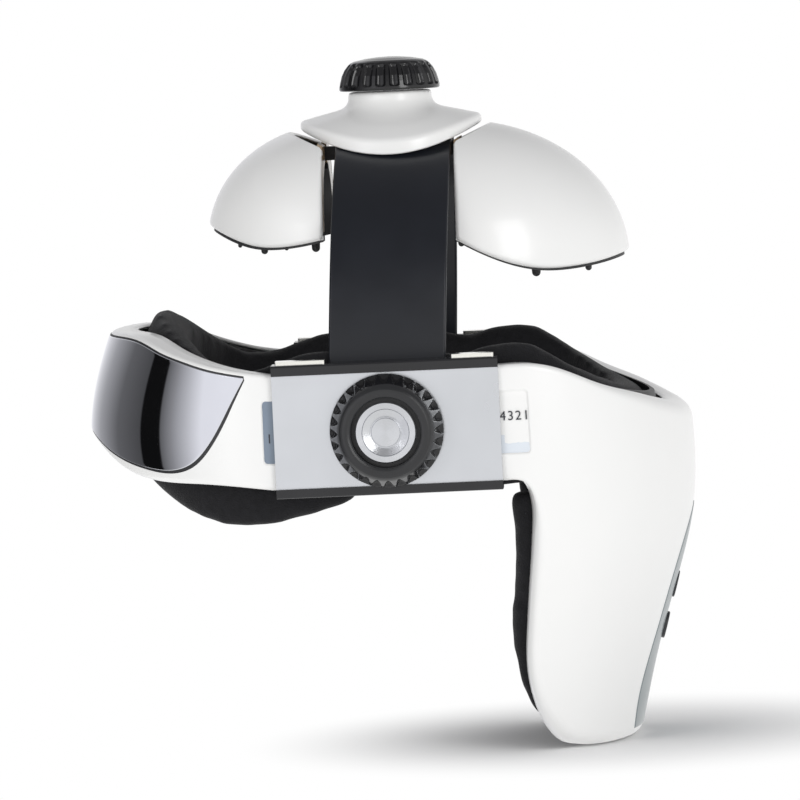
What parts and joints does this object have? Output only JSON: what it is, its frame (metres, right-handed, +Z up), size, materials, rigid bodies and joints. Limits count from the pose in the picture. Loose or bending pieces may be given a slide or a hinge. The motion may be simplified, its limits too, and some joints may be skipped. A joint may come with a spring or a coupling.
{
  "type": "head, eye and neck massager headset",
  "caption": "Head massager headset: slide-adjusted eye mask and neck unit, side knobs, crown band with a hub knob and two scalp-massage lobes.",
  "frame": {"origin": "midway between the two side knobs, on their common axis", "axes": "+X to the wearer's left, -Y the way the wearer faces, +Z up towards the crown"},
  "size_m": [0.2412, 0.2661, 0.3031],
  "materials": {
    "white_shell": "glossy moulded white",
    "black_gloss": "gloss black moulding",
    "brushed_plate": "fine brushed, bluish silver",
    "bright_strip": "polished",
    "knob_black": "satin to gloss black",
    "turned_insert": "turned aluminium",
    "band_navy": "satin navy black",
    "cushion_fabric": "matt black knit",
    "visor_mirror": "dark mirror",
    "panel_grey": "satin grey",
    "scale_blue": "blue-grey strip",
    "scale_white": "pale strip",
    "tan_inner": "tan inner moulding",
    "silicone_black": "matt silicone",
    "frame_black": "matt black moulding",
    "steel": "plain steel",
    "brass": "turned brass",
    "circuit_green": "solder mask",
    "battery_wrap": "film wrap",
    "airbag_film": "translucent film",
    "key_black": "soft-touch key"
  },
  "bodies": {
    "headset_frame": {"side_housing_left": "black_gloss", "side_housing_right": "black_gloss", "side_plate_left": "brushed_plate", "side_plate_right": "brushed_plate", "trim_strips": "bright_strip", "shaft_bushes": "brass", "crown_band": "band_navy", "housing_screws": "steel", "temple_pad_left": "cushion_fabric", "temple_pad_right": "cushion_fabric", "hub_shell": "white_shell"},
    "mask": {"mask_shell": "white_shell", "visor_tray": "black_gloss", "visor_panel": "visor_mirror", "mask_frame": "frame_black", "mask_scales": "scale_blue", "mask_screws": "steel", "eye_cushion": "cushion_fabric", "eye_airbags": "airbag_film", "mask_motors": "steel", "mask_circuit": "circuit_green", "mask_rack_left": "steel", "mask_rack_right": "steel"},
    "neck_unit": {"neck_shell": "white_shell", "back_panel": "panel_grey", "neck_frame": "frame_black", "neck_scales": "scale_white", "neck_screws": "steel", "back_cushion": "cushion_fabric", "neck_cushion": "cushion_fabric", "main_circuit": "circuit_green", "battery": "battery_wrap", "air_pump": "steel", "charging_jack": "steel", "neck_rack_left": "steel", "neck_rack_right": "steel"},
    "left_knob": {"side_knob_left": "knob_black", "knob_insert_left": "turned_insert", "drive_pinion_left": "brass"},
    "right_knob": {"side_knob_right": "knob_black", "knob_insert_right": "turned_insert", "drive_pinion_right": "brass"},
    "crown_dial": {"crown_knob": "knob_black", "lead_screw": "steel"},
    "carriage": {"lobe_carriage": "frame_black"},
    "front_lobe": {"front_lobe_shell": "white_shell", "front_lobe_carrier": "tan_inner", "front_lobe_pin": "steel", "front_lobe_finger_pad": "silicone_black", "front_lobe_motor": "steel"},
    "rear_lobe": {"rear_lobe_shell": "white_shell", "rear_lobe_carrier": "tan_inner", "rear_lobe_pin": "steel", "rear_lobe_finger_pad": "silicone_black", "rear_lobe_motor": "steel"},
    "front_weight": {"front_lobe_weight": "brass"},
    "rear_weight": {"rear_lobe_weight": "brass"},
    "power_key": {"power_button": "key_black"},
    "mode_key": {"mode_button": "key_black"}
  },
  "joints": [
    {"name": "mask_slide", "type": "slide", "parent": "headset_frame", "child": "mask", "axis": [0, -1, 0], "range_m": [-0.001, 0.008]},
    {"name": "neck_slide", "type": "slide", "parent": "headset_frame", "child": "neck_unit", "axis": [0, 1, 0], "range_m": [-0.0011, 0.0081]},
    {"name": "left_knob_turn", "type": "hinge", "parent": "headset_frame", "child": "left_knob", "pos_m": [0.1, 0, 0], "axis": [1, 0, 0], "range_deg": [-12, 78]},
    {"name": "right_knob_turn", "type": "hinge", "parent": "headset_frame", "child": "right_knob", "pos_m": [-0.1, 0, 0], "axis": [1, 0, 0], "range_deg": [-12, 78]},
    {"name": "crown_knob_turn", "type": "hinge", "parent": "headset_frame", "child": "crown_dial", "pos_m": [0, 0.004, 0.15], "axis": [0, 0, 1], "range_deg": [-2, 362]},
    {"name": "crown_lift", "type": "slide", "parent": "headset_frame", "child": "carriage", "axis": [0, 0, -1], "range_m": [0, 0.008]},
    {"name": "front_lobe_tilt", "type": "hinge", "parent": "carriage", "child": "front_lobe", "pos_m": [0, -0.031, 0.1169], "axis": [1, 0, 0], "range_deg": [0, 8]},
    {"name": "rear_lobe_tilt", "type": "hinge", "parent": "carriage", "child": "rear_lobe", "pos_m": [0, 0.0385, 0.1169], "axis": [-1, 0, 0], "range_deg": [0, 8]},
    {"name": "front_weight_spin", "type": "hinge", "parent": "front_lobe", "child": "front_weight", "pos_m": [0, -0.052, 0.1125], "axis": [1, 0, 0], "continuous": true},
    {"name": "rear_weight_spin", "type": "hinge", "parent": "rear_lobe", "child": "rear_weight", "pos_m": [0, 0.066, 0.1125], "axis": [1, 0, 0], "continuous": true},
    {"name": "power_press", "type": "slide", "parent": "neck_unit", "child": "power_key", "axis": [0, -0.9609, 0.2768], "range_m": [0, 0.001], "stiffness_N_per_m": 500},
    {"name": "mode_press", "type": "slide", "parent": "neck_unit", "child": "mode_key", "axis": [0, -0.9609, 0.2768], "range_m": [0, 0.001], "stiffness_N_per_m": 500}
  ],
  "couplings": [
    {"joint": "neck_slide", "follows": "mask_slide", "ratio": 1},
    {"joint": "left_knob_turn", "follows": "mask_slide", "rad_per_m": 166.67},
    {"joint": "right_knob_turn", "follows": "mask_slide", "rad_per_m": 166.67},
    {"joint": "crown_knob_turn", "follows": "crown_lift", "rad_per_m": 785.4}
  ]
}
